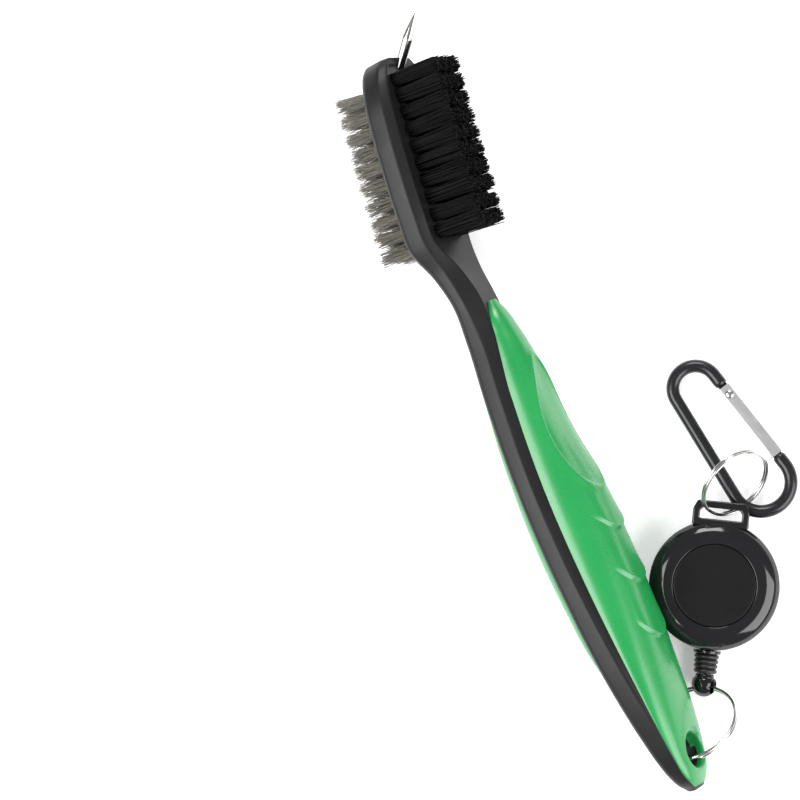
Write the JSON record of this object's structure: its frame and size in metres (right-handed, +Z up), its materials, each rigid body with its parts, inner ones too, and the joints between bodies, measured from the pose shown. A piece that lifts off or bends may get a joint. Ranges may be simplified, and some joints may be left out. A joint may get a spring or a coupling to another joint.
{
  "type": "club groove brush",
  "caption": "Two-sided groove brush with nylon and wire tufts, a groove spike, a contoured two-tone handle, and a retractable cord reel with a spring-gate carabiner on a split ring.",
  "frame": {"origin": "on the table under the middle of the assembly laid flat", "axes": "+Z up from the table, +Y from the brush tail to its head, +X towards the reel and carabiner"},
  "size_m": [0.075, 0.2032, 0.0271],
  "materials": {
    "handle_black": "fine satin moulded black",
    "grip_green": "soft touch green elastomer",
    "nylon_black": "bundled nylon filaments",
    "wire_steel": "bundled fine metal wires",
    "spike_steel": "turned and polished",
    "ring_chrome": "bright plated spring wire",
    "reel_gloss": "polished black moulding",
    "reel_disc": "satin black inset",
    "boot_rubber": "soft black",
    "cord_nylon": "braided black cord",
    "spool_plastic": "natural acetal",
    "spring_steel": "spring steel",
    "carabiner_black": "black anodised rod",
    "gate_aluminium": "satin anodised"
  },
  "bodies": {
    "brush": {"handle_frame": "handle_black", "grip_front": "grip_green", "grip_back": "grip_green", "nylon_tufts_row_1": "nylon_black", "wire_tufts_row_1": "wire_steel", "nylon_tufts_row_2": "nylon_black", "wire_tufts_row_2": "wire_steel", "nylon_tufts_row_3": "nylon_black", "wire_tufts_row_3": "wire_steel", "nylon_tufts_row_4": "nylon_black", "wire_tufts_row_4": "wire_steel", "groove_spike": "spike_steel"},
    "tail_ring": {"tail_split_ring": "ring_chrome"},
    "pull_end": {"pull_ball": "reel_gloss", "strain_boot": "boot_rubber", "cord_knot": "cord_nylon", "zip_cord": "cord_nylon"},
    "reel": {"reel_back_cover": "reel_gloss", "reel_front_cover": "reel_gloss", "reel_face_disc": "reel_disc", "reel_screw": "spring_steel", "reel_spring": "spring_steel", "outlet_bushing": "reel_gloss"},
    "spool": {"spool": "spool_plastic", "wound_cord": "cord_nylon"},
    "top_ring": {"top_split_ring": "ring_chrome"},
    "carabiner": {"carabiner_body": "carabiner_black", "gate_rivet": "spring_steel", "gate_spring": "spring_steel"},
    "gate": {"carabiner_gate": "gate_aluminium"}
  },
  "joints": [
    {"name": "tail_ring_swing", "type": "hinge", "parent": "brush", "child": "tail_ring", "pos_m": [-0.0155, -0.09225, 0.01481], "axis": [0.8907, -0.0021, 0.4546], "range_deg": [-80, 0]},
    {"name": "pull_end_swing", "type": "hinge", "parent": "tail_ring", "child": "pull_end", "pos_m": [-0.00425, -0.08084, 0.00368], "axis": [-0.8382, 0.2974, -0.4571], "range_deg": [0, 40]},
    {"name": "cord_pull", "type": "slide", "parent": "pull_end", "child": "reel", "axis": [0.4695, 0.8829, 0], "range_m": [0, 0.6], "stiffness_N_per_m": 1.5, "springref_m": -0.5, "deforming": ["zip_cord"]},
    {"name": "spool_turn", "type": "hinge", "parent": "reel", "child": "spool", "pos_m": [0.00772, -0.05815, 0.0053], "axis": [0, 0, 1], "range_deg": [0, 3440], "deforming": ["reel_spring"]},
    {"name": "top_ring_swing", "type": "hinge", "parent": "reel", "child": "top_ring", "pos_m": [0.01713, -0.04045, 0.0078], "axis": [0.8829, -0.4695, 0], "range_deg": [0, 15]},
    {"name": "carabiner_swing", "type": "hinge", "parent": "top_ring", "child": "carabiner", "pos_m": [0.02844, -0.03876, 0.00464], "axis": [0, 0, 1], "range_deg": [-12, 0]},
    {"name": "gate_open", "type": "hinge", "parent": "carabiner", "child": "gate", "pos_m": [0.02973, -0.01559, 0.00311], "axis": [-0.0141, 0.0665, 0.9977], "range_deg": [-28, 0], "stiffness_Nm_per_rad": 0.02, "springref_deg": 17.19, "deforming": ["gate_spring"]}
  ],
  "couplings": [
    {"joint": "spool_turn", "follows": "cord_pull", "rad_per_m": 100}
  ]
}
